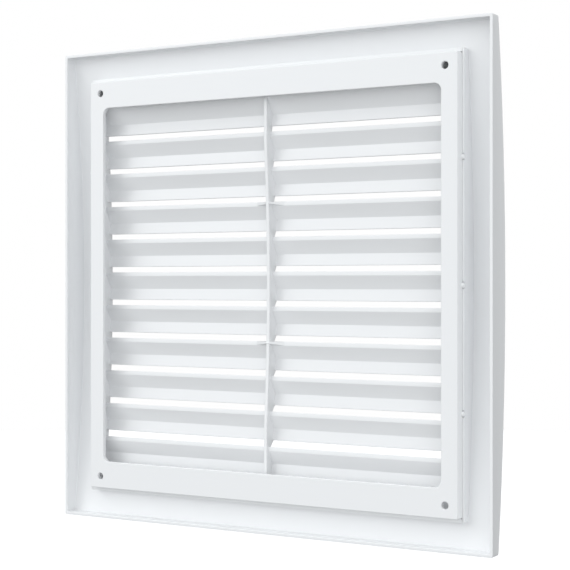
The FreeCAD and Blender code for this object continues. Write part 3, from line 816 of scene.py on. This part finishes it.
# ---------------------------------------------------------------------------------------------------------
# The stage
# ---------------------------------------------------------------------------------------------------------
FLOOR_DROP, FLOOR_RADIUS, FLOOR_SIDES = 0.35, 4.0, 96
"""How far the floor lies below the grille, its radius, and the count of its rim's points."""
STUDIO_COLOUR = (0.98, 1.0, 1.01, 1.0)
BOX_SPREAD = 8.0
"""How narrow a soft box is: the power that its cosine is raised to."""
SOFT_BOXES = (
    (45, 25, 2.85),
    (90, 0, 0.74),
    (90, -50, 0.62),
    (135, 25, 1.2),
    (135, -25, 1.08),
    (160, 5, 0.55),
    (225, 25, 0.75),
    (270, 0, 1.6),
    (0, 90, 2.2),
)
"""Each soft box's azimuth from +X towards +Y and its elevation, both in degrees, and its strength."""


class GRILLE_OT_stage(bpy.types.Operator):
    """Set the pale floor, the soft studio light and the camera"""

    bl_idname = "grille.stage"
    bl_label = "Stage"

    def execute(self, context):
        scene = context.scene
        low, high = CAD_BOX
        add_floor(scene, low.z - FLOOR_DROP)
        add_light(scene)
        add_camera(scene, (low + high) / 2)
        scene.view_settings.view_transform = "Standard"
        return {"FINISHED"}


def add_floor(scene, height):
    """A wide round floor of pale matt card, well below the grille, which hangs on a wall."""
    angle = np.linspace(0.0, 2 * math.pi, FLOOR_SIDES, endpoint=False)
    rim = np.column_stack([np.cos(angle), np.sin(angle), np.zeros(FLOOR_SIDES)]) * FLOOR_RADIUS
    rim[:, 2] = height
    mesh = bpy.data.meshes.new("floor")
    mesh.from_pydata(rim.tolist(), [], [list(range(FLOOR_SIDES))])
    floor = bpy.data.objects.new("floor", mesh)
    scene.collection.objects.link(floor)
    card = bpy.data.materials.new("pale_card")
    card.use_nodes = True
    shader = card.node_tree.nodes["Principled BSDF"]
    shader.inputs["Base Color"].default_value = (0.86, 0.86, 0.86, 1.0)
    shader.inputs["Roughness"].default_value = 0.9
    shader.inputs["Specular IOR Level"].default_value = 0.0
    shader.inputs["Emission Color"].default_value = (1.0, 1.0, 1.0, 1.0)
    shader.inputs["Emission Strength"].default_value = 0.3
    mesh.materials.append(card)
    floor.visible_diffuse = False
    floor.visible_glossy = False


def add_light(scene):
    """Soft boxes round the grille, all part of the world, which the camera itself sees as plain white.

    A soft box's brightness is its strength times a power of the cosine between its direction and the ray.
    """
    world = bpy.data.worlds.new("studio")
    scene.world = world
    world.use_nodes = True
    nodes, links = world.node_tree.nodes, world.node_tree.links
    place = nodes.new("ShaderNodeTexCoord")

    def math_node(operation, first, second):
        node = nodes.new("ShaderNodeMath")
        node.operation = operation
        node.use_clamp = operation == "MAXIMUM"
        for socket, value in zip(node.inputs, (first, second)):
            if isinstance(value, float):
                socket.default_value = value
            else:
                links.new(value, socket)
        return node.outputs["Value"]

    def soft_box(azimuth, elevation, strength):
        around, up = math.radians(azimuth), math.radians(elevation)
        aim = nodes.new("ShaderNodeVectorMath")
        aim.operation = "DOT_PRODUCT"
        level = math.cos(up)
        aim.inputs[1].default_value = (math.cos(around) * level, math.sin(around) * level, math.sin(up))
        links.new(place.outputs["Generated"], aim.inputs[0])
        cosine = math_node("MAXIMUM", aim.outputs["Value"], 0.0)
        return math_node("MULTIPLY", math_node("POWER", cosine, BOX_SPREAD), strength)

    total = soft_box(*SOFT_BOXES[0])
    for box in SOFT_BOXES[1:]:
        total = math_node("ADD", total, soft_box(*box))
    studio, plain = nodes["Background"], nodes.new("ShaderNodeBackground")
    studio.inputs["Color"].default_value = STUDIO_COLOUR
    links.new(total, studio.inputs["Strength"])
    plain.inputs["Color"].default_value = (1.0, 1.0, 1.0, 1.0)
    choice = nodes.new("ShaderNodeMixShader")
    links.new(nodes.new("ShaderNodeLightPath").outputs["Is Camera Ray"], choice.inputs["Fac"])
    links.new(studio.outputs["Background"], choice.inputs[1])
    links.new(plain.outputs["Background"], choice.inputs[2])
    links.new(choice.outputs["Shader"], nodes["World Output"].inputs["Surface"])


def add_camera(scene, centre):
    """A long lens level with the grille's middle, behind it and to one side."""
    azimuth, distance, aside, eye_height = math.radians(210.63), 0.7339, 0.0083, 0.00126
    sensor, lens, shift = 36.0, 91.45, -0.0042
    back = Vector((math.sin(azimuth), -math.cos(azimuth), 0.0))
    right = Vector((math.cos(azimuth), math.sin(azimuth), 0.0))
    data = bpy.data.cameras.new("camera")
    data.sensor_width = sensor
    data.lens = lens
    data.shift_y = shift
    data.clip_start = 0.01
    data.clip_end = 50.0
    camera = bpy.data.objects.new("camera", data)
    camera.location = centre + back * distance + right * aside
    camera.location.z = eye_height
    camera.rotation_euler = (math.pi / 2, 0.0, azimuth)
    scene.collection.objects.link(camera)
    scene.camera = camera


OPERATORS = (
    GRILLE_OT_stage,
    GRILLE_OT_shell,
    GRILLE_OT_snap_walls,
    GRILLE_OT_ribs,
    GRILLE_OT_blades,
    GRILLE_OT_webs,
    GRILLE_OT_frame,
    GRILLE_OT_pegs,
)


class GRILLE_PT_sidebar(bpy.types.Panel):
    """The grille's pieces, sizes and finish"""

    bl_idname = "GRILLE_PT_sidebar"
    bl_label = "Louvred Air Grille"
    bl_space_type = "VIEW_3D"
    bl_region_type = "UI"
    bl_category = "Grille"

    def draw(self, context):
        column = self.layout.column()
        for operator in OPERATORS:
            column.operator(operator.bl_idname)
        for group in (context.scene.grille_sizes, context.scene.grille_finish):
            box = self.layout.box()
            for name in group.__annotations__:
                box.prop(group, name)


CLASSES = (GrilleSizes, GrilleFinish, *OPERATORS, GRILLE_PT_sidebar)


def register():
    for cls in CLASSES:
        bpy.utils.register_class(cls)
    bpy.types.Scene.grille_sizes = PointerProperty(type=GrilleSizes)
    bpy.types.Scene.grille_finish = PointerProperty(type=GrilleFinish)


def unregister():
    del bpy.types.Scene.grille_finish
    del bpy.types.Scene.grille_sizes
    for cls in reversed(CLASSES):
        bpy.utils.unregister_class(cls)


def main():
    register()
    for operator in OPERATORS:
        getattr(bpy.ops.grille, operator.bl_idname.split(".")[1])()


if __name__ == "__main__":
    main()
